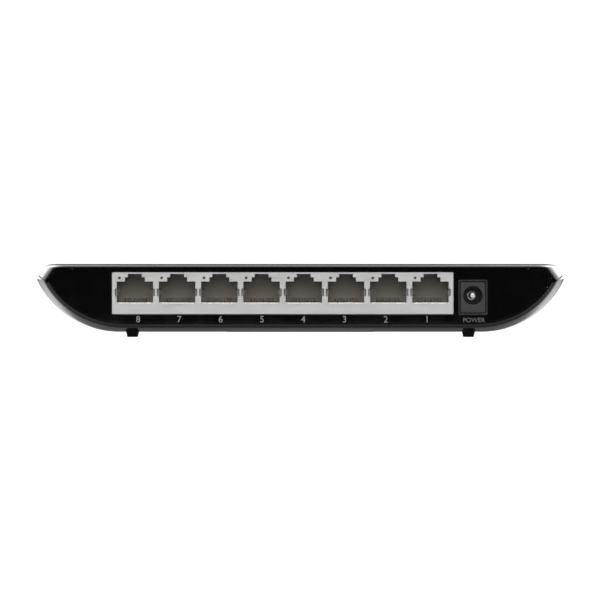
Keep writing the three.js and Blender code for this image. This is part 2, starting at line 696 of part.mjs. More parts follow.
const sinkZ = padZ + padThickness + gap;
let sink = block(about(chipX, sinkSize), about(chipY, sinkSize), [sinkZ, sinkZ + sinkBase]);
for (let i = 0; i < finCount; i += 1) {
  const finY = chipY + (i - (finCount - 1) / 2) * (sinkSize - finThickness) / (finCount - 1);
  const finZ = [sinkZ + sinkBase / 2, sinkZ + sinkHeight];
  sink = join(sink, block(about(chipX, sinkSize), about(finY, finThickness), finZ));
}
add('heat_sink', sink, aluminium);

const transformerCount = portCount / 2;
const transformerY = shieldBackY + transformerMargin + transformerSize[1] / 2;
for (let i = 1; i <= transformerCount; i += 1) {
  const x = (portX(2 * i - 1) + portX(2 * i)) / 2;
  add(`lan_transformer_${i}`, partOnBoard(x, transformerY, transformerSize), chipBlack);
}

const crystalShape = slotShape(chipX + 26, chipY + 10, crystalSize[0], crystalSize[1]);
add('crystal', solid(alongZ(crystalShape, [seat, seat + crystalSize[2]], 4)), brightSteel);
add('flash_chip', partOnBoard(chipX - 24, chipY + 8, flashSize), chipBlack);
add('regulator_chip', partOnBoard(chipX + 44, chipY - 6, regulatorSize), chipBlack);
add('power_inductor', partOnBoard(chipX + 46, chipY + 6, inductorSize), ferriteGrey);
[transformerY, chipY + 8].forEach((y, i) => {
  const can = column(boardScrewX, y, [seat, seat + capacitorHeights[i]], capacitorRadii[i]);
  add(`capacitor_${i + 1}`, can, sleeveBlack);
});

// ---------------------------------------------------------------- indicator lights

add('led_power', partOnBoard(powerLightX, lightY, lightSize), lampWhite);
for (const n of ports) add(`led_${n}`, partOnBoard(lightX(n), lightY, lightSize), lampWhite);

// One clear moulding: an elbow over each light that leads to the front panel, on a common bar with two legs.
const guideTipY = halfDepth - panelRecess - gap;
const postRange = about(lightY, lightSize[1] + 1);
const guideFoot = seat + lightSize[2] + gap;
const elbow = polygon([[postRange[0], guideFoot], [postRange[1], guideFoot], [postRange[1], guideBottomZ],
  [guideTipY, guideBottomZ], [guideTipY, guideTopZ], [postRange[1], guideTopZ],
  [postRange[0], guideTopZ - (postRange[1] - postRange[0])]]);
const barRange = [postRange[1] + 1, postRange[1] + 1 + guideBar];
const legXs = [powerLightX - lightPitch, lightX(portCount) - lightPitch];
const guide = join(
  block([legXs[1] - guideBar / 2, powerLightX], barRange, [guideBottomZ, guideTopZ]),
  ...lights.map((x) => solid(alongX(elbow, about(x, guideWidth)))),
  ...legXs.map((x) => block(about(x, guideBar), barRange, [seat, guideTopZ])));
add('light_guide', guide, clearAcrylic);

// ---------------------------------------------------------------- fasteners

// A pan-head screw that points up from z = 0, with a cross recess.
function screwUp(length) {
  const tip = screwHeadHeight + length;
  const profile = [[0, 0], [screwHeadRadius * 0.8, 0], [screwHeadRadius, screwHeadHeight / 3],
    [screwHeadRadius, screwHeadHeight], [screwRadius, screwHeadHeight], [screwRadius, tip - screwRadius],
    [screwRadius / 3, tip], [0, tip]].map(([r, z]) => new THREE.Vector2(r, z));
  const turned = solid(new THREE.LatheGeometry(profile, 12).rotateX(Math.PI / 2));
  const depth = [-through, screwHeadHeight / 2];
  const recess = join(block(about(0, screwHeadRadius), about(0, screwSlot), depth),
    block(about(0, screwSlot), about(0, screwHeadRadius), depth));
  return geometryOf(cut(turned, recess));
}

corners.forEach(([sx, sy], i) => {
  const screw = add(`case_screw_${i + 1}`, screwUp(caseScrewLength), brightSteel);
  screw.position.set(sx * caseScrewX, sy * caseScrewY, caseScrewHeadZ);
});
[-1, 1].forEach((side, i) => {
  const screw = add(`board_screw_${i + 1}`, screwUp(boardScrewLength), brightSteel);
  screw.rotation.x = Math.PI;
  screw.position.set(side * boardScrewX, boardScrewY, boardTopZ + gap + screwHeadHeight);
});

// ---------------------------------------------------------------- feet and label

const footTopZ = floorUnder(rearFootX, footY) + footPocket - gap;
const footSection = polygon([[-footWidth / 2, footTopZ], [-footWidth / 2 + footTaper, 0],
  [footWidth / 2 - footTaper, 0], [footWidth / 2, footTopZ]]);
corners.forEach(([sx, sy]) => {
  const name = `foot_${sy < 0 ? 'rear' : 'front'}_${sx < 0 ? 'left' : 'right'}`;
  const foot = add(name, alongY(footSection, about(0, footLength)), rubberBlack);
  foot.position.set(sx * footX(sy), sy * footY, 0);
});

const labelTopZ = labelPocketZ - gap;
const labelZ = [labelTopZ - labelThickness, labelTopZ];
add('rating_label', block(about(0, labelSize[0]), about(ventY, labelSize[1]), labelZ), labelSilver);

export default group;
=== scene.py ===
import math

import bmesh
import bpy
import numpy as np
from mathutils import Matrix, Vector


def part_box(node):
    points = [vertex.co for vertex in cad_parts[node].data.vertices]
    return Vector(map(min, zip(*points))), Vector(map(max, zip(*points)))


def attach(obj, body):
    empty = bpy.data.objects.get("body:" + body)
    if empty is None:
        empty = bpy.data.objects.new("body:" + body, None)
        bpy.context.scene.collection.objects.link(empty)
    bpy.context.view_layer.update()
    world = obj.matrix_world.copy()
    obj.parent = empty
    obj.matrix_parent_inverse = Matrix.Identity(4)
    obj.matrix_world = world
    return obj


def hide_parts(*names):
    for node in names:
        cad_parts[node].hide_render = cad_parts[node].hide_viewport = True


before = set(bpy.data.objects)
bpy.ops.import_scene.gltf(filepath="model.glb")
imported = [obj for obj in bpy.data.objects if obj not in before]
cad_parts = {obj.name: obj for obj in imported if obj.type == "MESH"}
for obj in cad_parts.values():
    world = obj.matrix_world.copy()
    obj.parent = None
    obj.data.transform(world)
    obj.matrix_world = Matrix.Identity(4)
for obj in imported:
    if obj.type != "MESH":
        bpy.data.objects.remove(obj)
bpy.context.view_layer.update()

mm = 0.001


# ------------------------ top cover
# A gloss-black moulding: a nearly flat top with a soft shoulder and a straight bevel down each side.
# Its sides bow outwards between the ends and its top is crowned, so no edge of it is quite straight.

half_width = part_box("base_shell")[1][0]
half_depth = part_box("base_shell")[1][1]
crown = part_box("top_cover")[1][2]
bow = 5.2 * mm             # each side comes in by this much at either end
rocker = 1.8 * mm          # the floor is this much higher at either end
crown_drop = 1.0 * mm      # the cover is this much lower at either end
bow_power = 2.2
floor_z = 1.5 * mm         # underside of the base at mid depth
arc_radius = 31.2 * mm     # hull's arc, from the floor to the widest line
widest_z = crown - 4.9 * mm
bevel = np.array([3.05, 4.15]) * mm
shoulder_run = 4.5 * mm
seam_rise = 1.2 * mm       # joint with the base, above the widest line at mid depth
seam_gap = 0.3 * mm
cover_wall = 1.0 * mm
cover_rim = 0.4 * mm       # rounding of the ends' outer edge
rim_step = 0.03 * mm       # between that rounding and the flat of the end
post_over_head = 4.2 * mm  # foot of a screw post, above the underside of the screw's head
post_radius = 2.85 * mm
bore_radius = 1.5 * mm


def end_share(y):
    """The share of the half depth at depth y, raised to the bow's power."""
    return np.minimum(1, np.abs(y) / half_depth) ** bow_power


def bowed(x, y, z):
    """A point of the mid-depth section carried to depth y. The case narrows, its floor rises and its
    top sinks in proportion to the end share."""
    t = end_share(y)
    share = np.clip((z - floor_z) / (widest_z - floor_z), 0, 1)
    lift = rocker - share * (rocker + crown_drop)
    return np.stack([x * (1 - t * bow / half_width), y + 0 * x, z + t * lift], axis=-1)


def seam_height(y):
    """Height on the mid-depth section of the joint of cover and base, lower towards the ends."""
    return widest_z + seam_rise - end_share(y) * seam_rise * 0.85


def heading(path):
    """Unit direction of travel at each point of a path."""
    along = np.gradient(path, axis=-2)
    return along / np.linalg.norm(along, axis=-1, keepdims=True)


def inset(line, depth):
    """A line of (..., n, 2) points moved by depth along the normal on the left of its travel."""
    along = heading(line)
    normal = np.stack([-along[..., 1], along[..., 0]], axis=-1)
    return line + normal * np.asarray(depth)[..., None, None]


def mirrored(line):
    """A half line from the middle outwards made whole, from the far left to the far right."""
    other = line[..., 1:, :] * [-1, 1]
    return np.concatenate([other[..., ::-1, :], line], axis=-2)


def cover_line(y):
    """Half of the cover's section for each depth in y, from the middle of the top to the joint."""
    top = np.linspace(0, 1, 30)[:-1] * (half_width - bevel[0] - shoulder_run)
    flat = np.stack([top, np.full_like(top, crown)], axis=-1)
    edge = np.array([half_width - bevel[0], widest_z + bevel[1]])
    past = half_width - bevel[0] * (crown - widest_z) / bevel[1]
    start = np.array([half_width - bevel[0] - shoulder_run, crown])
    u = np.linspace(0, 1, 16)[:, None]
    shoulder = (1 - u) ** 2 * start + 2 * u * (1 - u) * np.array([past, crown]) + u ** 2 * edge
    low = seam_height(y) + seam_gap / 2
    drop = np.linspace(0, 1, 8)[1:]
    z = edge[1] + (low[:, None] - edge[1]) * drop
    side = np.stack([half_width - (z - widest_z) * bevel[0] / bevel[1], z], axis=-1)
    fixed = np.concatenate([flat, shoulder])
    return np.concatenate([np.broadcast_to(fixed, (len(y), *fixed.shape)), side], axis=1)


def end_walk(wall, rim):
    """Stations from rear to front as depth y and inset: the flat of the end, a quarter round of the
    rim's radius, the side, and the same again backwards."""
    turn = np.linspace(0, math.pi / 2, 8)
    corner_y = np.append(half_depth, half_depth - rim * (1 - np.cos(turn)))
    corner_in = np.append(rim + rim_step, rim * (1 - np.sin(turn)))
    side = np.linspace(-1, 1, 50)[1:-1] * (half_depth - rim - rim_step)
    y = np.concatenate([[-half_depth], -corner_y, side, corner_y[::-1], [half_depth]])
    d = np.concatenate([[wall], corner_in, 0 * side, corner_in[::-1], [wall]])
    return y, d


def surface(name, points, wrap_rows=False):
    """A mesh from rows of points, each row a closed loop: four neighbours make a face, and coinciding
    points merge. With wrap_rows the last row joins the first."""
    rows, columns = points.shape[:2]
    index = np.arange(rows * columns).reshape(rows, columns)
    if wrap_rows:
        index = np.vstack([index, index[:1]])
    index = np.hstack([index, index[:, :1]])
    corners = [index[:-1, :-1], index[:-1, 1:], index[1:, 1:], index[1:, :-1]]
    mesh = bpy.data.meshes.new(name)
    mesh.from_pydata(points.reshape(-1, 3), [], np.stack(corners, axis=-1).reshape(-1, 4))
    return closed(mesh)


def closed(mesh, merge=1e-7):
    """The mesh with coinciding points merged and every face turned outwards."""
    work = bmesh.new()
    work.from_mesh(mesh)
    bmesh.ops.remove_doubles(work, verts=work.verts, dist=merge)
    bmesh.ops.dissolve_degenerate(work, edges=work.edges, dist=merge)
    bmesh.ops.recalc_face_normals(work, faces=work.faces)
    work.to_mesh(mesh)
    work.free()
    return mesh


def piece(mesh, material, replaces=(), body="chassis", sharp=35, flat_ends=False):
    """The mesh as a piece riding on a body: smooth but for edges sharper than the angle and, with
    flat_ends, for the faces square to Y, so that what they mirror stays straight."""
    mesh.shade_smooth()
    mesh.set_sharp_from_angle(angle=math.radians(sharp))
    if flat_ends:
        normals = np.empty(len(mesh.polygons) * 3)
        mesh.polygons.foreach_get("normal", normals)
        mesh.polygons.foreach_set("use_smooth", np.abs(normals.reshape(-1, 3)[:, 1]) < 0.9998)
    made = bpy.data.objects.new(mesh.name, mesh)
    bpy.context.scene.collection.objects.link(made)
    made.data.materials.clear()
    made.data.materials.append(material)
    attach(made, body)
    if replaces:
        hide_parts(*replaces)


def soften(made, width, angle=40):
    """Rounds every edge sharper than the angle."""
    modifier = made.modifiers.new("soft edges", "BEVEL")
    modifier.width = width
    modifier.segments = 2
    modifier.limit_method = "ANGLE"
    modifier.angle_limit = math.radians(angle)
    modifier.harden_normals = True
    modifier.miter_outer = "MITER_ARC"


def shell(name, line_at, wall, rim, turn=1):
    """A wall along the case: each station's section line, then the same line inset by the wall and
    followed backwards. With turn -1 the line is followed the other way."""
    y, d = end_walk(wall, rim)
    line = mirrored(line_at(y))[:, ::turn]
    loops = np.concatenate([inset(line, d), inset(line, np.full_like(y, wall))[:, ::-1]], axis=1)
    return surface(name, bowed(loops[..., 0], y[:, None], loops[..., 1]))


def capped(loops):
    """Closed loops, row after row, with each end drawn in to its middle point."""
    loops = np.asarray(loops, dtype=float)
    first, last = [np.broadcast_to(loop.mean(axis=0), loop.shape)[None] for loop in (loops[0], loops[-1])]
    return np.concatenate([first, loops, last])


def prism(outline, low, high):
    """A closed upright solid: the outline, a list of (x, y), carried from low to high."""
    outline = np.asarray(outline)
    return capped([np.column_stack([outline, np.full(len(outline), z)]) for z in (low, high)])


def round_hole(x, y, radius, count=40):
    """Outline of a circle."""
    turn = np.linspace(0, 2 * math.pi, count, endpoint=False)
    return np.column_stack([x + radius * np.cos(turn), y + radius * np.sin(turn)])


def joined(name, grids):
    """One mesh from several closed grids of points."""
    whole = bmesh.new()
    for grid in grids:
        part = surface("part", grid)
        whole.from_mesh(part)
        bpy.data.meshes.remove(part)
    mesh = bpy.data.meshes.new(name)
    whole.to_mesh(mesh)
    whole.free()
    return mesh


def carved(mesh, steps, rounding=0.0):
    """The mesh with its sharp edges rounded, and then each (operation, other mesh) in turn."""
    body = bpy.data.objects.new("body", mesh)
    bpy.context.scene.collection.objects.link(body)
    if rounding:
        soften(body, rounding)
    tools = []
    for operation, other in steps:
        tool = bpy.data.objects.new("tool", other)
        bpy.context.scene.collection.objects.link(tool)
        modifier = body.modifiers.new(operation, "BOOLEAN")
        modifier.operation = operation
        modifier.solver = "MANIFOLD"
        modifier.object = tool
        tools.append(tool)
    graph = bpy.context.evaluated_depsgraph_get()
    result = bpy.data.meshes.new_from_object(body.evaluated_get(graph))
    for made in [body, *tools]:
        bpy.data.objects.remove(made)
    if "custom_normal" in result.attributes:
        result.attributes.remove(result.attributes["custom_normal"])
    return result


def middle(node):
    """Middle of a CAD node's box."""
    low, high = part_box(node)
    return (np.array(low) + np.array(high)) / 2


def extent(node):
    """Size of a CAD node's box."""
    low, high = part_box(node)
    return np.array(high) - np.array(low)


def preset(node, values):
    """The node with its inputs of these names set."""
    for name, value in values.items():
        node.inputs[name].default_value = value
    return node


class Finish:
    """A new material whose node tree is filled in by hand, with a Principled shader to start from."""

    def __init__(self, name, color, roughness, metallic=0.0):
        self.material = bpy.data.materials.new(name)
        self.material.use_nodes = True
        self.nodes = self.material.node_tree.nodes
        self.links = self.material.node_tree.links
        self.shader = preset(self.nodes["Principled BSDF"],
                             {"Base Color": (*color, 1), "Roughness": roughness, "Metallic": metallic})
        self.place = self.nodes.new("ShaderNodeTexCoord").outputs["Object"]

    def noise(self, scale, detail=3.0, stretch=(1, 1, 1)):
        """Soft random values on the piece's own coordinates, at so many grains to the metre."""
        mapping = preset(self.nodes.new("ShaderNodeMapping"), {"Scale": stretch})
        texture = preset(self.nodes.new("ShaderNodeTexNoise"), {"Scale": scale, "Detail": detail})
        self.links.new(self.place, mapping.inputs["Vector"])
        self.links.new(mapping.outputs["Vector"], texture.inputs["Vector"])
        return texture.outputs["Fac"]

    def spread(self, value, low, high, start=0.35, end=0.65):
        """The value carried from start..end to low..high."""
        node = preset(self.nodes.new("ShaderNodeMapRange"),
                      {"From Min": start, "From Max": end, "To Min": low, "To Max": high})
        self.links.new(value, node.inputs["Value"])
        return node.outputs["Result"]

    def blend(self, share, first, second):
        """A colour between the two, by the share."""
        node = self.nodes.new("ShaderNodeMix")
        node.data_type = "RGBA"
        node.inputs["A"].default_value = (*first, 1)
        node.inputs["B"].default_value = (*second, 1)
        self.links.new(share, node.inputs["Factor"])
        self.links.new(node.outputs["Result"], self.shader.inputs["Base Color"])

    def rough(self, value):
        """Takes the roughness from the value."""
        self.links.new(value, self.shader.inputs["Roughness"])

    def bump(self, height, distance):
        """Raises the surface by the height's value times the distance."""
        node = preset(self.nodes.new("ShaderNodeBump"), {"Strength": 1.0, "Distance": distance})
        self.links.new(height, node.inputs["Height"])
        self.links.new(node.outputs["Normal"], self.shader.inputs["Normal"])


def gloss_black(name):
    """Polished black ABS: faint ripple of the moulding, hairline haze and a little settled dust."""
    finish = Finish(name, (0.0035, 0.0035, 0.004), 0.05)
    finish.rough(finish.spread(finish.noise(140, 4), 0.035, 0.085))
    dust = finish.spread(finish.noise(2600, 1), 0, 1, 0.72, 0.8)
    finish.blend(dust, (0.0032, 0.0032, 0.0036), (0.02, 0.02, 0.02))
    finish.bump(finish.noise(260, 1), 0.0006 * mm)
    preset(finish.shader, {"IOR": 1.52})
    return finish.material


case_screws = [f"case_screw_{n}" for n in range(1, 5)]
post_top = crown - cover_wall - 0.1 * mm
posts = []
bores = []
for node in case_screws:
    x, y, _ = middle(node)
    low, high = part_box(node)
    post_foot = low[2] + post_over_head
    posts.append(prism(round_hole(x, y, post_radius), post_foot, post_top))
    bores.append(prism(round_hole(x, y, bore_radius), post_foot - 1 * mm, high[2] + 0.3 * mm))
cover_mesh = carved(shell("cover_wall", cover_line, cover_wall, cover_rim, -1),
                    [("UNION", joined("posts", posts)), ("DIFFERENCE", joined("bores", bores))], 0.12 * mm)
cover_mesh.name = "case_cover"
case_black = gloss_black("gloss black")
piece(cover_mesh, case_black, ["top_cover"], flat_ends=True)


# ------------------------ base shell
# The lower moulding: one arc from the widest line to a flat floor on each side. Vents, pockets for the
# feet and the label, and four wells for the case screws are cut through it.

base_wall = 1.8 * mm
base_rim = 1.25 * mm
arc_z = floor_z + arc_radius
widest_angle = math.asin((widest_z - arc_z) / arc_radius)
floor_half = half_width - arc_radius * math.cos(widest_angle)
vent_count, vent_pitch = 5, 5 * mm
vent_size = np.array([18, 2]) * mm
vent_middle = np.array([43, -6]) * mm
foot_room = 0.25 * mm
well_radius = 3.0 * mm
shank_hole = 1.55 * mm
boss_radius = 4.0 * mm
well_top, boss_top = 1.9 * mm, 3.9 * mm     # above the underside of the screw's head
board_posts = [(-56 * mm, 31 * mm), (56 * mm, 31 * mm), (-56 * mm, -30 * mm), (56 * mm, -30 * mm)]
board_post_radius, board_bore = 3.0 * mm, 1.6 * mm
label_room = 0.2 * mm


def base_line(y):
    """Half of the base's section for each depth in y, from the middle of the floor to the joint."""
    floor = np.linspace(0, floor_half, 40)[:-1]
    flat = np.stack([floor, np.full_like(floor, floor_z)], axis=-1)
    angle = np.linspace(-math.pi / 2, widest_angle, 46)
    arc = np.stack([floor_half + arc_radius * np.cos(angle), arc_z + arc_radius * np.sin(angle)], axis=-1)
    top = seam_height(y) - seam_gap / 2
    rise = np.linspace(0, 1, 5)[1:]
    z = widest_z + (top[:, None] - widest_z) * rise
    side = np.stack([half_width - (z - widest_z) * bevel[0] / bevel[1], z], axis=-1)
    fixed = np.concatenate([flat, arc])
    return np.concatenate([np.broadcast_to(fixed, (len(y), *fixed.shape)), side], axis=1)


def hull_height(x, y):
    """Height of the base's outside at a point of the plan: the arc's, lifted by the rocker."""
    reach = np.maximum(0, np.abs(x) / (1 - end_share(y) * bow / half_width) - floor_half)
    return bowed(x, y, arc_z - np.sqrt(arc_radius ** 2 - reach ** 2))[..., 2]


def boss(x, y, radius, top):
    """A solid post that rises from the middle of the floor's wall, whatever its slope there."""
    x, y = round_hole(x, y, radius).T
    levels = (hull_height(x, y) + base_wall / 2, 0 * x + top)
    return capped([np.stack([x, y, z], axis=-1) for z in levels])


def round_slot(x, y, length, width, count=10):
    """Outline of a slot along X with half-round ends."""
    turn = np.linspace(-math.pi / 2, math.pi / 2, count)
    cap = np.column_stack([(length - width) / 2 + width / 2 * np.cos(turn), width / 2 * np.sin(turn)])
    return np.concatenate([cap, -cap]) + [x, y]


def round_box(x, y, length, width, radius, count=5):
    """Outline of a rectangle with rounded corners."""
    turn = np.linspace(0, math.pi / 2, count)
    corners = []
    for quarter, (sx, sy) in enumerate([(1, 1), (-1, 1), (-1, -1), (1, -1)]):
        angle = turn + quarter * math.pi / 2
        corners.append(np.column_stack([x + sx * (length / 2 - radius) + radius * np.cos(angle),
                                        y + sy * (width / 2 - radius) + radius * np.sin(angle)]))
    return np.concatenate(corners)


feet = ["foot_rear_left", "foot_rear_right", "foot_front_left", "foot_front_right"]
board_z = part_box("main_board")[0][2]
cuts = []
bosses = []
for node in case_screws:
    x, y, _ = middle(node)
    head_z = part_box(node)[0][2]
    bosses.append(boss(x, y, boss_radius, head_z + boss_top))
    cuts.append(prism(round_hole(x, y, well_radius), 0, head_z + well_top))
    cuts.append(prism(round_hole(x, y, shank_hole), head_z, head_z + 6 * mm))
for node in feet:
    x, y, _ = middle(node)
    length, width = extent(node)[:2] + 2 * foot_room
    cuts.append(prism(round_box(x, y, length, width, 0.8 * mm), 0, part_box(node)[1][2] + 0.1 * mm))
for side in (-1, 1):
    for i in range(vent_count):
        y = vent_middle[1] + (i - (vent_count - 1) / 2) * vent_pitch
        cuts.append(prism(round_slot(side * vent_middle[0], y, *vent_size), 0, floor_z + 4 * mm))
for x, y in board_posts:
    bosses.append(boss(x, y, board_post_radius, board_z - 0.3 * mm))
for node in ("board_screw_1", "board_screw_2"):
    x, y, _ = middle(node)
    cuts.append(prism(round_hole(x, y, board_bore), floor_z + 2.4 * mm, board_z + 1 * mm))
label_size = extent("rating_label")[:2] + 2 * label_room
label_pocket = round_box(*middle("rating_label")[:2], *label_size, 1.2 * mm)
cuts.append(prism(label_pocket, 0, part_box("rating_label")[1][2] + 0.05 * mm))
base_mesh = carved(shell("base_wall", base_line, base_wall, base_rim),
                   [("UNION", joined("bosses", bosses)), ("DIFFERENCE", joined("cuts", cuts))], 0.18 * mm)
base_mesh.name = "case_base"
piece(base_mesh, case_black, ["base_shell"], sharp=30, flat_ends=True)


# ------------------------ rear panel
# A flat gloss-black plate let into the end of the case, with an opening for the port block and a
# sloped frame round the one for the power inlet. Its numerals are screen printed in light grey.

panel_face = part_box("rear_panel")[0][1]
panel_thickness = extent("rear_panel")[1]
panel_gap = 0.08 * mm
edge_round = 0.12 * mm
bezel_slope = 0.65 * mm


def stood(mesh, y, facing=1):
    """A mesh drawn in X and Y stood up with its middle plane at y. It is read from the ports' side,
    or from the front with facing -1."""
    points = np.empty(len(mesh.vertices) * 3)
    mesh.vertices.foreach_get("co", points)
    across, up, out = points.reshape(-1, 3).T
    mesh.vertices.foreach_set("co", np.column_stack([facing * across, y - facing * out, up]).ravel())
    mesh.update()
    return mesh


def box_outline(low, high):
    """Outline of a rectangle from its lowest and highest corner."""
    return [(low[0], low[1]), (high[0], low[1]), (high[0], high[1]), (low[0], high[1])]


def end_outline(y, base_depth, cover_depth):
    """Outline in X and Z of the opening at the end of the case: the whole section inset by the base's
    depth below the joint and the cover's above it. Points that pass each other are dropped."""
    at = np.array([abs(y)])
    line = np.concatenate([mirrored(base_line(at)), mirrored(cover_line(at))[:, ::-1]], axis=1)[0]
    line = line[np.linalg.norm(line - np.roll(line, 1, axis=0), axis=1) > 0.1 * mm]
    around = np.concatenate([line[-3:], line, line[:3]])
    share = np.clip((seam_height(at) - around[:, 1]) / mm, 0, 1)
    depth = cover_depth + share * (base_depth - cover_depth)
    normal = inset(around[None], [1.0])[0] - around
    moved = (around + normal * depth[:, None])[3:-3]
    for _ in range(4):
        steps = [np.roll(points, -1, axis=0) - points for points in (moved, line)]
        forward = np.sum(steps[0] * steps[1], axis=1) > 0
        moved, line = moved[forward], line[forward]
    return bowed(moved[:, 0], at, moved[:, 1])[:, [0, 2]]


def end_plate(name, holes):
    """An end panel lying in X and Y, a small gap inside the walls of the case."""
    outline = end_outline(half_depth - 0.2 * mm, base_wall + panel_gap, cover_wall + panel_gap)
    return flat_plate(name, outline, holes, panel_thickness, edge_round)


def drawn_mesh(curve):
    """The mesh of a curve or of text."""
    drawn = bpy.data.objects.new(curve.name, curve)
    bpy.context.scene.collection.objects.link(drawn)
    graph = bpy.context.evaluated_depsgraph_get()
    mesh = bpy.data.meshes.new_from_object(drawn.evaluated_get(graph))
    bpy.data.objects.remove(drawn)
    return mesh


def flat_plate(name, outline, holes, thickness, rounding):
    """A plate lying in X and Y: the outline filled but for its holes, all edges rounded."""
    curve = bpy.data.curves.new(name, "CURVE")
    curve.dimensions = "2D"
    curve.fill_mode = "BOTH"
    curve.extrude = thickness / 2 - rounding
    curve.bevel_depth = rounding
    curve.bevel_resolution = 2
    curve.offset = -rounding
    for line in [outline, *holes]:
        spline = curve.splines.new("POLY")
        spline.points.add(len(line) - 1)
        places = np.column_stack([line, np.zeros(len(line)), np.ones(len(line))])
        spline.points.foreach_set("co", places.ravel())
        spline.use_cyclic_u = True
    mesh = drawn_mesh(curve)
    mesh.name = name
    return closed(mesh, 1e-6)


shield_low, shield_high = [np.array(corner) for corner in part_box("port_shield")]
shield_room = 0.15 * mm
pin_middle = middle("dc_jack_pin")
frame_size = np.array([9.6, 11.5]) * mm      # outside of the sloped frame round the inlet
frame_middle = np.array([pin_middle[0], 13.3 * mm])
openings = [box_outline(shield_low[[0, 2]] - shield_room, shield_high[[0, 2]] + shield_room),
            round_box(*frame_middle, *frame_size, 0.5 * mm)]
rear_plate = stood(end_plate("rear_plate", openings), panel_face + panel_thickness / 2)
piece(rear_plate, gloss_black("panel black"), ["rear_panel"], sharp=20, flat_ends=True)


def framed(name, center, levels):
    """A ring of rounded rectangles, each level being the (length, height, corner, y) of one."""
    loops = []
    for length, height, corner, y in levels:
        outline = round_box(*center, length, height, corner)
        loops.append(np.column_stack([outline[:, 0], np.full(len(outline), y), outline[:, 1]]))
    return surface(name, np.stack(loops), wrap_rows=True)


def satin_plastic(name, color, roughness=0.42):
    """Dark moulded plastic with a fine spark-eroded grain and slightly uneven sheen."""
    finish = Finish(name, color, roughness)
    finish.rough(finish.spread(finish.noise(900, 3), roughness - 0.07, roughness + 0.1))
    finish.blend(finish.noise(420, 4), [0.8 * c for c in color], [1.25 * c for c in color])
    finish.bump(finish.noise(5200, 2), 0.012 * mm)
    return finish.material


frame_outer = frame_size - 0.04 * mm
frame_inner = frame_size - 2 * bezel_slope
frame_levels = [(*frame_outer, 0.5 * mm, panel_face + 0.15 * mm),
                (*(frame_outer - 0.1 * mm), 0.5 * mm, panel_face - 0.02 * mm),
                (*(frame_outer - 0.35 * mm), 0.45 * mm, panel_face - 0.02 * mm),
                (*frame_inner, 0.3 * mm, panel_face + 0.75 * mm),
                (*frame_inner, 0.3 * mm, panel_face + panel_thickness),
                (*frame_outer, 0.5 * mm, panel_face + panel_thickness)]
frame_plastic = satin_plastic("frame plastic", (0.05, 0.05, 0.053), 0.35)
piece(framed("inlet_frame", frame_middle, frame_levels), frame_plastic)


def printed(name, marks, y, facing=1):
    """Printed marks as one thin mesh. Each is (text, middle x, middle z, height of the letters, share
    of their full width), and its strokes are drawn a little bolder than the face."""
    whole = bmesh.new()
    for text, x, z, height, narrow in marks:
        letters = bpy.data.curves.new("letters", "FONT")
        letters.body = text
        letters.extrude = 0.012 * mm
        letters.offset = 0.006
        mesh = drawn_mesh(letters)
        points = np.empty(len(mesh.vertices) * 3)
        mesh.vertices.foreach_get("co", points)
        points = points.reshape(-1, 3)
        low, high = points.min(axis=0), points.max(axis=0)
        scale = height / (high[1] - low[1])
        flat = (points[:, :2] - (low + high)[:2] / 2) * scale * [narrow, 1]
        placed = np.column_stack([x + facing * flat[:, 0], y - facing * points[:, 2], z + flat[:, 1]])
        mesh.vertices.foreach_set("co", placed.ravel())
        whole.from_mesh(mesh)
    bmesh.ops.remove_doubles(whole, verts=whole.verts, dist=1e-7)
    bmesh.ops.recalc_face_normals(whole, faces=whole.faces)
    mesh = bpy.data.meshes.new(name)
    whole.to_mesh(mesh)
    whole.free()
    return mesh


def ink(name, color):
    """Screen-printed ink, a little thin in places."""
    finish = Finish(name, color, 0.5)
    finish.blend(finish.noise(3000, 3), [0.7 * c for c in color], color)
    return finish.material


print_y = panel_face - 0.008 * mm
port_pitch, port_middle = 13.97 * mm, -5.9 * mm
numeral_pitch, numeral_middle = 13.65 * mm, -5.93 * mm
numeral_z, numeral_height, numeral_share = 6.05 * mm, 2.15 * mm, 0.95
port_x = [(4.5 - n) * port_pitch + port_middle for n in range(1, 9)]
numeral_x = [(4.5 - n) * numeral_pitch + numeral_middle for n in range(1, 9)]
marks = [(str(n), x, numeral_z, numeral_height, numeral_share) for n, x in enumerate(numeral_x, start=1)]
piece(printed("port_numerals", marks, print_y), ink("print grey", (0.42, 0.42, 0.43)))
legend = [("POWER", pin_middle[0] + 0.35 * mm, 5.8 * mm, 1.5 * mm, 1.0)]
piece(printed("inlet_legend", legend, print_y), ink("print dim grey", (0.2, 0.2, 0.21)))


# ------------------------ front panel
# The opposite end is closed by a smoked plate. A row of small windows lets the light guide's tips
# through: one for power and one for each port, with a printed numeral under each.

front_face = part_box("front_panel")[1][1]
window_size = np.array([2.5, 1.6]) * mm
window_z = 13.15 * mm
light_x = {node: middle(node)[0] for node in ["led_power"] + [f"led_{n}" for n in range(1, 9)]}
windows = [round_box(-x, window_z, *window_size, 0.25 * mm) for x in light_x.values()]
front_plate = stood(end_plate("front_plate", windows), front_face - panel_thickness / 2, -1)
piece(front_plate, gloss_black("smoked black"), ["front_panel"], sharp=20, flat_ends=True)
marks = [(str(n), light_x[f"led_{n}"], window_z - 2.6 * mm, 1.6 * mm, numeral_share) for n in range(1, 9)]
piece(printed("light_numerals", marks, front_face + 0.008 * mm, -1), ink("front print", (0.4, 0.4, 0.41)))


# ------------------------ shield of the port block
# One stamping of tinned brass 0.35 mm thick, folded round the housing. Its face has a stepped opening
# and a round hole for each socket; a lip is turned at each sill, and a finger springs in at each side.

sheet = 0.35 * mm
sill, shoulder_z, step_z, latch_z = 11.55 * mm, 18.5 * mm, 19.9 * mm, 21.05 * mm
half_socket, half_step, half_latch = 6.0 * mm, 3.25 * mm, 2.25 * mm
notch_low, notch_high, notch_deep = 13.65 * mm, 16.15 * mm, 0.6 * mm


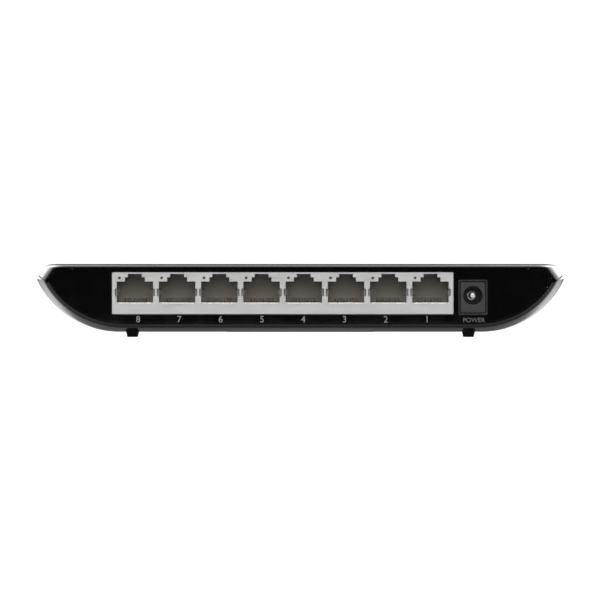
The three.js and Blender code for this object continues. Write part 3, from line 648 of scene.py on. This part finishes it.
def socket_outline(x):
    """Outline of a socket: the plug's room, notched at each side, a step, and the latch's channel."""
    right = [(half_socket, sill), (half_socket, notch_low), (half_socket + notch_deep, notch_low),
             (half_socket + notch_deep, notch_high), (half_socket, notch_high), (half_socket, shoulder_z),
             (half_step, shoulder_z), (half_step, step_z), (half_latch, step_z), (half_latch, latch_z)]
    left = [(-across, z) for across, z in right[::-1]]
    return np.array(right + left) + [x, 0]


def tinned(name, color=(0.78, 0.78, 0.77), roughness=0.36):
    """Bright tin plate: soft rolling streaks along X, cloudy haze and fine scuffs."""
    finish = Finish(name, color, roughness, 1.0)
    streak = finish.noise(900, 3, (0.12, 1, 1))
    finish.rough(finish.spread(streak, roughness - 0.05, roughness + 0.07))
    finish.blend(finish.noise(300, 5), [0.93 * c for c in color], color)
    finish.bump(finish.noise(2400, 2, (0.2, 1, 1)), 0.003 * mm)
    return finish.material


holes = [socket_outline(x) for x in port_x]
holes += [round_hole(x - 5.1 * mm, 19.7 * mm, 0.45 * mm, 20) for x in port_x]
face_middle = (shield_low[[0, 2]] + shield_high[[0, 2]]) / 2
face_size = (shield_high - shield_low)[[0, 2]]
shield_metal = tinned("tin plate")
fold_radius = 0.35 * mm
face_outline = round_box(*face_middle, *face_size, fold_radius)
face_plate = flat_plate("shield_face", face_outline, holes, sheet, 0.1 * mm)
face_plate = stood(face_plate, shield_low[1] + sheet / 2)
piece(face_plate, shield_metal, ["port_shield"], sharp=12, flat_ends=True)
fold_start = shield_low[1] + sheet * 0.9
shield_back = shield_high[1]
outside, inside = face_size - 0.04 * mm, face_size - 2 * sheet
wrap_levels = [(*outside, fold_radius, fold_start),
               (*outside, fold_radius, shield_back - 0.1 * mm),
               (*(face_size - 0.3 * mm), fold_radius, shield_back),
               (0, 0, 0, shield_back),
               (0, 0, 0, shield_back - sheet),
               (*inside, 0.1 * mm, shield_back - sheet),
               (*inside, 0.1 * mm, fold_start)]
piece(framed("shield_wrap", face_middle, wrap_levels), shield_metal)


def ribbon(path, normal, width, thickness, across):
    """A strip with rounded edges. Its section, whose sides follow the cosine and the sine of a turn
    to the power 0.55, is carried along the path."""
    turn = np.linspace(0, 2 * math.pi, 16, endpoint=False)
    u = np.sign(np.cos(turn)) * np.abs(np.cos(turn)) ** 0.55 * width / 2
    v = np.sign(np.sin(turn)) * np.abs(np.sin(turn)) ** 0.55 * thickness / 2
    loops = path[:, None] + u[None, :, None] * np.asarray(across) + v[None, :, None] * normal[:, None]
    return capped(loops)


def finger(x, side):
    """A spring finger: its hook at the notch's edge fades exponentially, and it leans into the socket
    and out again as a sine."""
    s = np.linspace(0, 1, 16)
    reach = 5 * mm
    lean = 0.7 * mm * np.sin(s * math.pi * 0.62) ** 1.2
    hook = 0.45 * mm * np.exp(-s / 0.04)
    across = x + side * (half_socket - 0.08 * mm + hook - lean)
    height = (notch_low + notch_high) / 2
    path = np.column_stack([across, shield_low[1] + 0.45 * mm + s * reach, 0 * s + height])
    along = heading(path)
    normal = np.column_stack([along[:, 1], -along[:, 0], 0 * s])
    return ribbon(path, normal, notch_high - notch_low - 0.25 * mm, 0.22 * mm, (0, 0, 1))


def lip(x):
    """The rolled sill: a bead of oval section along an opening's bottom, flattened at both ends."""
    s = np.linspace(-1, 1, 12)
    end = (1 - np.abs(s) ** 12)[:, None]
    turn = np.linspace(0, 2 * math.pi, 14, endpoint=False)
    y = shield_low[1] + 0.08 * mm - 0.2 * mm * np.cos(turn)[None] * end
    z = sill - 0.22 * mm + 0.22 * mm * np.sin(turn)[None] * (0.4 + 0.6 * end)
    across = np.broadcast_to((x + s * half_socket)[:, None], y.shape)
    return capped(np.stack([across, y, z], axis=-1))


fingers = joined("shield_fingers", [finger(x, side) for x in port_x for side in (-1, 1)])
piece(fingers, shield_metal, sharp=50)
# Painted highlight: the lips are the same tin plate as the face, only paler and smoother, so each sill
# shows a bright line.
lip_painted_highlight = tinned("tin plate with painted highlight", (0.9, 0.9, 0.89), 0.24)
piece(joined("shield_lips", [lip(x) for x in port_x]), lip_painted_highlight, sharp=60)


# ------------------------ housing, carriers and contact wires
# The housing behind the shield is glass-filled nylon. Each socket takes a carrier whose eight
# gold-plated wires stand up towards the back and are pressed down by a plug.

def dress(nodes, material, rounding=0.0):
    """Gives CAD nodes their finish, and rounds their edges where there is room for it."""
    for node in nodes:
        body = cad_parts[node]
        for place in body.material_slots:
            place.material = material
        if rounding:
            weld = body.modifiers.new("weld", "WELD")
            weld.merge_threshold = 1e-6
            soften(body, rounding, 35)


def nylon(name):
    """Glass-filled nylon, graded by height from tan grey at the sill, painted light low in the socket, to
    dark at the latch, painted shade high up.
    """
    finish = Finish(name, (0.15, 0.148, 0.142), 0.48)
    place = finish.nodes.new("ShaderNodeSeparateXYZ")
    finish.links.new(finish.place, place.inputs["Vector"])
    # Painted light and shade: the colour runs by height from light tan at the sill to dark grey at the
    # latch.
    height = finish.spread(place.outputs["Z"], 0, 1, sill, step_z)
    finish.blend(height, (0.72, 0.67, 0.59), (0.15, 0.15, 0.15))
    finish.rough(finish.spread(finish.noise(900, 3), 0.42, 0.56))
    finish.bump(finish.noise(5200, 2), 0.012 * mm)
    return finish.material


dress(["port_housing"], nylon("nylon grey with painted light and shade"))
carrier_plastic = satin_plastic("carrier tan grey", (0.34, 0.29, 0.22), 0.45)
dress([f"contact_carrier_{n}" for n in range(1, 9)], carrier_plastic, 0.12 * mm)


def gold(name):
    """Gold flash over nickel, worn a little paler where the plug rubs."""
    finish = Finish(name, (0.78, 0.57, 0.27), 0.4, 1.0)
    finish.blend(finish.spread(finish.noise(1800, 3), 0, 1), (0.72, 0.5, 0.22), (0.86, 0.74, 0.5))
    finish.rough(finish.spread(finish.noise(2600, 2), 0.34, 0.48))
    return finish.material


wire_gold = gold("contact gold")
strip_plastic = satin_plastic("strip black", (0.03, 0.03, 0.03), 0.4)
wire_pitch, wire_size = 1.02 * mm, np.array([0.42, 0.3]) * mm


def wire(x, root_y, root_z):
    """One contact wire: it runs out of the strip, rises at 13 degrees behind a small bend, and its
    tip curls down with the square of the run."""
    s = np.linspace(0, 1, 30)
    run = s * 8.4 * mm
    bend = 0.5 * mm
    rise = np.tan(math.radians(13)) * np.maximum(0, run - bend) * (1 - np.exp(-run / bend))
    curl = 0.55 * mm * np.maximum(0, (s - 0.86) / 0.14) ** 2
    path = np.column_stack([0 * s + x, root_y - 0.75 * mm + run, root_z - 0.22 * mm + rise - curl])
    along = heading(path)
    normal = np.column_stack([0 * s, -along[:, 2], along[:, 1]])
    return ribbon(path, normal, wire_size[0], wire_size[1], (1, 0, 0))


root_y = -41.2 * mm
bar_share = np.concatenate([[-1], np.linspace(-0.98, 0.98, 8), [1]])
upward = np.tile([0, 0, 1.0], (len(bar_share), 1))
for n, x in enumerate(port_x, start=1):
    low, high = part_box(f"contact_springs_{n}")
    root_z = low[2] + 0.5 * mm
    row = [wire(x + (i - 3.5) * wire_pitch, root_y, root_z) for i in range(8)]
    wires = joined(f"contact_wires_{n}", row)
    piece(wires, wire_gold, [f"contact_springs_{n}"], f"contact_set_{n}", 50)
    bar_x = bar_share * (high[0] - low[0]) / 2 + x
    bar_path = np.column_stack([bar_x, 0 * bar_x + root_y, 0 * bar_x + low[2] + 0.24 * mm])
    strip = surface(f"contact_strip_{n}", ribbon(bar_path, upward, 1.7 * mm, 0.44 * mm, (0, 1, 0)))
    piece(strip, strip_plastic, body=f"contact_set_{n}", sharp=50)


# ------------------------ power inlet
# A moulded jack: a nose that fills the panel's opening, a barrel bored into it, a nickel-plated
# centre pin riveted through the back with a collar at its root, and a sleeve spring at the bottom.

inlet_low, inlet_high = [np.array(corner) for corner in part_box("dc_jack_body")]
nose_size = np.array([8.35, 10.2]) * mm
nose_middle = np.array([pin_middle[0], 13.25 * mm])
barrel_radius, barrel_end = 3.1 * mm, -34.9 * mm
block_front = -42.7 * mm
block_middle = np.array([pin_middle[0], (inlet_low[2] + inlet_high[2]) / 2])
block_size = (inlet_high - inlet_low)[[0, 2]]
barrel = round_hole(pin_middle[0], pin_middle[2], barrel_radius, 64)
jack_parts = bmesh.new()
for size, center, front_y, back_y, bored, rounding in [
        (nose_size, nose_middle, inlet_low[1], block_front, True, 0.3 * mm),
        (block_size, block_middle, block_front, barrel_end, True, 0.15 * mm),
        (block_size, block_middle, barrel_end, inlet_high[1], False, 0.15 * mm)]:
    part = flat_plate("jack_part", round_box(*center, *size, 0.45 * mm), [barrel] if bored else [],
                      back_y - front_y, rounding)
    jack_parts.from_mesh(stood(part, (front_y + back_y) / 2))
jack_mesh = bpy.data.meshes.new("inlet_body")
jack_parts.to_mesh(jack_mesh)
jack_parts.free()
jack_plastic = satin_plastic("jack plastic", (0.045, 0.045, 0.047), 0.38)
piece(jack_mesh, jack_plastic, ["dc_jack_body"], sharp=12, flat_ends=True)


def turned_about(name, profile, x, z, count=48):
    """A lathe form about a line along the depth: the profile's (radius, y) pairs carried round."""
    turn = np.linspace(0, 2 * math.pi, count, endpoint=False)
    radius, y = np.asarray(profile).T
    ring = np.stack([x + radius[:, None] * np.cos(turn), np.broadcast_to(y[:, None], (len(y), count)),
                     z + radius[:, None] * np.sin(turn)], axis=-1)
    return surface(name, ring)


pin_tip, pin_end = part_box("dc_jack_pin")[0][1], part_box("dc_jack_pin")[1][1]
nickel = tinned("bright nickel", (0.9, 0.89, 0.87), 0.36)
tip_turn = np.linspace(0, math.pi / 2, 8)
tip_radius = 0.45 * mm
tip_flat = 0.55 * mm
tip_profile = np.column_stack([tip_flat + tip_radius * np.sin(tip_turn),
                               pin_tip + tip_radius * (1 - np.cos(tip_turn))])
collar = [(1.0, -35.6), (1.1, -35.2), (1.5, -35.15), (1.55, -35.0), (1.55, -34.2), (1.0, -34.2)]
pin_profile = [(0, pin_tip), *tip_profile, *(np.array(collar) * mm), (1.0 * mm, pin_end), (0, pin_end)]
pin_mesh = turned_about("inlet_pin", pin_profile, pin_middle[0], pin_middle[2])
piece(pin_mesh, nickel, ["dc_jack_pin"], sharp=40)
leaf_y = np.array([-32.5, -34, -36, -38, -39.4, -40.4, -41.1, -41.7, -42.3]) * mm
leaf_z = np.array([10.05, 10.05, 10.05, 10.1, 10.45, 10.85, 11.0, 10.85, 10.45]) * mm
fine = np.linspace(0, 1, 40)
leaf_path = np.column_stack([np.full(40, pin_middle[0]), np.interp(fine, np.linspace(0, 1, 9), leaf_y),
                             np.interp(fine, np.linspace(0, 1, 9), leaf_z)])
leaf_path[1:-1] = (leaf_path[:-2] + leaf_path[1:-1] + leaf_path[2:]) / 3
leaf_along = heading(leaf_path)
leaf_normal = np.column_stack([0 * fine, -leaf_along[:, 2], leaf_along[:, 1]])
leaf_mesh = surface("inlet_leaf", ribbon(leaf_path, leaf_normal, 2.1 * mm, 0.26 * mm, (1, 0, 0)))
piece(leaf_mesh, nickel, ["dc_jack_spring"], "dc_jack_spring_leaf", 50)


# ------------------------ circuit board and what stands on it
# A fibreglass board under green solder mask, with the switch chip and its heat sink in the middle,
# network transformers behind the sockets, and the power parts beside the inlet.

def solder_mask(name):
    """Green lacquer over glass weave: a set of fine ripples under a satin film."""
    finish = Finish(name, (0.012, 0.1, 0.045), 0.32)
    weave = preset(finish.nodes.new("ShaderNodeTexWave"), {"Scale": 420, "Distortion": 1.5})
    finish.links.new(finish.place, weave.inputs["Vector"])
    finish.blend(finish.noise(160, 4), (0.008, 0.07, 0.032), (0.016, 0.13, 0.06))
    finish.rough(finish.spread(finish.noise(700, 2), 0.26, 0.42))
    finish.bump(weave.outputs["Fac"], 0.01 * mm)
    return finish.material


dress(["main_board"], solder_mask("solder mask"), 0.08 * mm)
chip_black = satin_plastic("chip epoxy", (0.018, 0.018, 0.019), 0.5)
dress(["switch_chip", "flash_chip", "regulator_chip"], chip_black, 0.12 * mm)
transformer_epoxy = satin_plastic("transformer epoxy", (0.03, 0.03, 0.032), 0.35)
dress([f"lan_transformer_{n}" for n in range(1, 5)], transformer_epoxy, 0.2 * mm)
dress(["crystal"], tinned("crystal can", (0.72, 0.7, 0.66), 0.3), 0.2 * mm)


def anodised(name):
    """Black anodised aluminium, drawn along the fins."""
    finish = Finish(name, (0.035, 0.035, 0.04), 0.42, 0.6)
    finish.rough(finish.spread(finish.noise(1500, 3, (0.05, 1, 1)), 0.34, 0.52))
    finish.bump(finish.noise(2200, 2, (0.05, 1, 1)), 0.006 * mm)
    return finish.material


dress(["heat_sink"], anodised("black anodised"), 0.1 * mm)
dress(["thermal_pad"], satin_plastic("silicone pad", (0.3, 0.32, 0.36), 0.7), 0.05 * mm)
dress(["power_inductor"], satin_plastic("ferrite", (0.06, 0.058, 0.056), 0.65), 0.25 * mm)
sleeve = satin_plastic("capacitor sleeve", (0.02, 0.025, 0.05), 0.3)
dress(["capacitor_1", "capacitor_2"], sleeve, 0.3 * mm)


def lamp_resin(name):
    """Milky resin of an unlit indicator."""
    finish = Finish(name, (0.75, 0.8, 0.7), 0.25)
    preset(finish.shader, {"Transmission Weight": 0.25})
    finish.blend(finish.noise(1200, 2), (0.68, 0.75, 0.62), (0.82, 0.85, 0.76))
    return finish.material


def clear_guide(name):
    """Clear acrylic of the light guide, faintly rippled by its mould."""
    finish = Finish(name, (0.9, 0.92, 0.93), 0.12)
    preset(finish.shader, {"Transmission Weight": 0.7, "IOR": 1.49})
    finish.rough(finish.spread(finish.noise(800, 2), 0.08, 0.2))
    finish.bump(finish.noise(900, 2), 0.01 * mm)
    return finish.material


dress(list(light_x), lamp_resin("lamp resin"), 0.1 * mm)
dress(["light_guide"], clear_guide("clear acrylic"), 0.08 * mm)


# ------------------------ screws
# Four zinc-plated pan-head screws hold the case from below, two smaller ones hold the board. Each
# head has a cross recess with sloping sides.

def screw_mesh(name, x, y, low, high, head_radius, head_height, shank, facing):
    """A screw along Z, head down, or head up with facing -1. The head is a dome that falls with the
    fourth power of the radius, sunk where an arm of the cross passes. The shank's radius waves as the
    cosine of height less turn."""
    turn = np.linspace(0, 2 * math.pi, 96, endpoint=False)
    share = np.linspace(0, 1, 22)[:, None]
    radius = head_radius * share
    across = radius * np.cos(turn)
    along = radius * np.sin(turn)
    arm = np.minimum(np.abs(across), np.abs(along))
    reach = np.maximum(np.abs(across), np.abs(along))
    sunk = np.clip((0.32 * mm - arm) / (0.12 * mm), 0, 1)
    sunk = sunk * np.clip((head_radius * 0.62 - reach) / (0.35 * mm), 0, 1)
    top = 0.45 * mm * share ** 4 + sunk * head_height * 0.55
    head = np.stack([across, along, top], axis=-1)
    length = high - low
    rings = [(head_radius, 0.7 * head_height), (head_radius * 0.97, head_height), (shank, head_height)]
    thread = np.linspace(head_height + 0.3 * mm, length - 0.8 * mm, 60)
    pitch, tooth = 0.9 * mm, 0.18 * mm
    rings += [(shank - tooth * (0.5 + 0.5 * np.cos(2 * math.pi * z / pitch - turn)), z) for z in thread]
    rings += [(0.35 * shank, length), (0.0, length)]
    loops = [np.stack([r * np.cos(turn), r * np.sin(turn), 0 * turn + z], axis=-1) for r, z in rings]
    points = np.concatenate([head, np.stack(loops)])
    if facing < 0:
        points = points * [1, 1, -1] + [0, 0, length]
    return surface(name, points + [x, y, low])


zinc = tinned("zinc plate", (0.62, 0.62, 0.6), 0.3)
head_height, shank_radius, case_head = 1.6 * mm, 1.25 * mm, 2.7 * mm
for node in [*case_screws, "board_screw_1", "board_screw_2"]:
    x, y, _ = middle(node)
    low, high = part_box(node)
    radius, facing = (case_head, 1) if node in case_screws else ((high[0] - low[0]) / 2, -1)
    screw = screw_mesh(node + "_turned", x, y, low[2], high[2], radius, head_height, shank_radius, facing)
    piece(screw, zinc, [node], sharp=45)


# ------------------------ feet and rating label
# Four tapered blocks of black rubber are pressed into pockets of the floor. The label is a blank
# satin foil.

def rubber(name):
    """Soft black rubber with a dry, slightly dusty skin."""
    finish = Finish(name, (0.018, 0.018, 0.018), 0.72)
    dust = finish.spread(finish.noise(1800, 4), 0, 1, 0.4, 0.75)
    finish.blend(dust, (0.013, 0.013, 0.013), (0.04, 0.04, 0.039))
    finish.rough(finish.spread(finish.noise(1200, 3), 0.62, 0.82))
    finish.bump(finish.noise(4200, 3), 0.02 * mm)
    return finish.material


rubber_black = rubber("rubber black")
for node in feet:
    x, y, _ = middle(node)
    low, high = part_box(node)
    width, length, top = high[0] - low[0], high[1] - low[1], high[2]
    loops = []
    levels = [(-0.5, 0), (-0.4, 0), (-0.32, 0.05), (-0.25, 0.18), (0, top / mm - 0.1), (-0.08, top / mm)]
    for grow, z in levels:
        taper = 0.4 * mm * (1 - z * mm / top)
        outline = round_box(x, y, width + grow * mm - 2 * taper, length + grow * mm - taper, 1.0 * mm, 8)
        loops.append(np.column_stack([outline, np.full(len(outline), z * mm)]))
    piece(surface(node + "_rubber", capped(loops)), rubber_black, [node], sharp=50)


def foil(name):
    """Satin polyester foil with a faint grain."""
    finish = Finish(name, (0.42, 0.43, 0.44), 0.4)
    finish.blend(finish.noise(600, 4), (0.38, 0.39, 0.4), (0.46, 0.47, 0.48))
    finish.rough(finish.spread(finish.noise(2400, 2), 0.34, 0.5))
    finish.bump(finish.noise(3800, 1), 0.006 * mm)
    return finish.material


dress(["rating_label"], foil("label foil"), 0.04 * mm)


# ------------------------ floor, light and camera
# A pale floor. Soft boxes stand over the switch, just above the camera, at both sides and behind it,
# all outside the view. The air is white to the camera and mostly grey to everything else.

def worked_out(tree, operation, first, second):
    """The result of a maths node from two inputs, each a socket or a number."""
    node = tree.nodes.new("ShaderNodeMath")
    node.operation = operation
    for place, value in zip(node.inputs, (first, second)):
        if isinstance(value, float):
            place.default_value = value
        else:
            tree.links.new(value, place)
    return node.outputs["Value"]


def pale_floor():
    """A wide pale sheet that darkens away from the camera. To the camera it is nearly white paper,
    and from below it is clear."""
    finish = Finish("pale floor", (0.6, 0.6, 0.6), 0.7)
    split = finish.nodes.new("ShaderNodeSeparateXYZ")
    finish.links.new(finish.place, split.inputs["Vector"])
    finish.blend(finish.spread(split.outputs["Y"], 0, 1, 0.12, 0.5), (0.5, 0.5, 0.5), (0.06, 0.06, 0.06))
    preset(finish.shader, {"Emission Color": (1, 1, 1, 1), "Emission Strength": 0.09})
    paper = preset(finish.nodes.new("ShaderNodeEmission"), {"Strength": 1.15})
    sight = finish.nodes.new("ShaderNodeMixShader")
    seen = finish.nodes.new("ShaderNodeLightPath").outputs["Is Camera Ray"]
    finish.links.new(worked_out(finish.material.node_tree, "MULTIPLY", seen, 0.9), sight.inputs["Fac"])
    finish.links.new(finish.shader.outputs["BSDF"], sight.inputs[1])
    finish.links.new(paper.outputs["Emission"], sight.inputs[2])
    under = finish.nodes.new("ShaderNodeMixShader")
    finish.links.new(finish.nodes.new("ShaderNodeNewGeometry").outputs["Backfacing"], under.inputs["Fac"])
    finish.links.new(sight.outputs["Shader"], under.inputs[1])
    finish.links.new(finish.nodes.new("ShaderNodeBsdfTransparent").outputs["BSDF"], under.inputs[2])
    finish.links.new(under.outputs["Shader"], finish.nodes["Material Output"].inputs["Surface"])
    mesh = bpy.data.meshes.new("floor")
    side, front, back, low = 3, -0.33, 5, -0.02 * mm
    mesh.from_pydata([(-side, front, low), (side, front, low), (side, back, low), (-side, back, low)], [],
                     [(0, 1, 2, 3)])
    mesh.materials.append(finish.material)
    floor = bpy.data.objects.new("floor", mesh)
    bpy.context.scene.collection.objects.link(floor)


pale_floor()


def air():
    """White to the camera. To the rest it is dark on the viewer's side and grey behind, with a bright
    ring 7 to 20 degrees off the depth axis, which the sides of the case mirror, round a dark middle."""
    world = bpy.data.worlds.new("air")
    world.use_nodes = True
    nodes, links = world.node_tree.nodes, world.node_tree.links
    nodes.clear()
    seen = preset(nodes.new("ShaderNodeBackground"), {"Strength": 1.05, "Color": (1, 1, 1, 1)})
    felt = preset(nodes.new("ShaderNodeBackground"), {"Color": (1, 1, 1, 1)})
    direction = nodes.new("ShaderNodeSeparateXYZ")
    links.new(nodes.new("ShaderNodeTexCoord").outputs["Generated"], direction.inputs["Vector"])
    ranges = [(-0.6, 0.4, 0.012, 0.4), (0.93, 0.97, 0.0, 1.0), (0.984, 0.997, 1.0, 0.03)]
    parts = []
    for start, end, low, high in ranges:
        part = preset(nodes.new("ShaderNodeMapRange"),
                      {"From Min": start, "From Max": end, "To Min": low, "To Max": high})
        part.interpolation_type = "SMOOTHSTEP"
        links.new(direction.outputs["Y"], part.inputs["Value"])
        parts.append(part.outputs["Result"])
    ring = worked_out(world.node_tree, "MULTIPLY", parts[1], 1.5)
    whole = worked_out(world.node_tree, "ADD", parts[0], ring)
    links.new(worked_out(world.node_tree, "MULTIPLY", whole, parts[2]), felt.inputs["Strength"])
    choice = nodes.new("ShaderNodeMixShader")
    links.new(nodes.new("ShaderNodeLightPath").outputs["Is Camera Ray"], choice.inputs["Fac"])
    links.new(felt.outputs["Background"], choice.inputs[1])
    links.new(seen.outputs["Background"], choice.inputs[2])
    links.new(choice.outputs["Shader"], nodes.new("ShaderNodeOutputWorld").inputs["Surface"])
    bpy.context.scene.world = world


air()


def soft_box(name, place, size, radiance, aim=(0, 0, 0.012)):
    """A rectangular light of so much radiance, turned to the switch and not seen by the camera."""
    light = bpy.data.lights.new(name, "AREA")
    light.shape = "RECTANGLE"
    light.size, light.size_y = size
    light.energy = radiance * math.pi * size[0] * size[1]
    made = bpy.data.objects.new(name, light)
    made.location = place
    toward = np.array(aim) - np.array(place)
    yaw = math.atan2(toward[1], toward[0]) - math.pi / 2
    pitch = math.atan2(toward[2], math.hypot(toward[0], toward[1]))
    made.rotation_euler = (pitch + math.pi / 2, 0, yaw)
    made.visible_camera = False
    bpy.context.scene.collection.objects.link(made)


soft_box("over the switch", (0, 0.15, 1.1), (1.3, 1.1), 3.2)
soft_box("above the camera", (0, -1.25, 0.42), (1.3, 0.5), 1.55)
soft_box("high in front", (0, -0.75, 0.95), (1.0, 0.6), 2.0)
for side in (-1, 1):
    soft_box("behind, at the side", (side * 0.9, 0.9, 0.5), (0.5, 0.4), 1.5)
    soft_box("beside the switch", (side * 1.2, 0.2, 0.4), (0.6, 0.7), 1.0)

camera_data = bpy.data.cameras.new("camera")
camera_data.lens = 208.7
camera_data.sensor_width = 36
camera_data.clip_start = 0.05
camera = bpy.data.objects.new("camera", camera_data)
camera.location = (-0.00017, -1.195, 0.0124)
camera.rotation_euler = (math.pi / 2, 0, 0)
bpy.context.scene.collection.objects.link(camera)
bpy.context.scene.camera = camera
bpy.context.scene.view_settings.view_transform = "Standard"
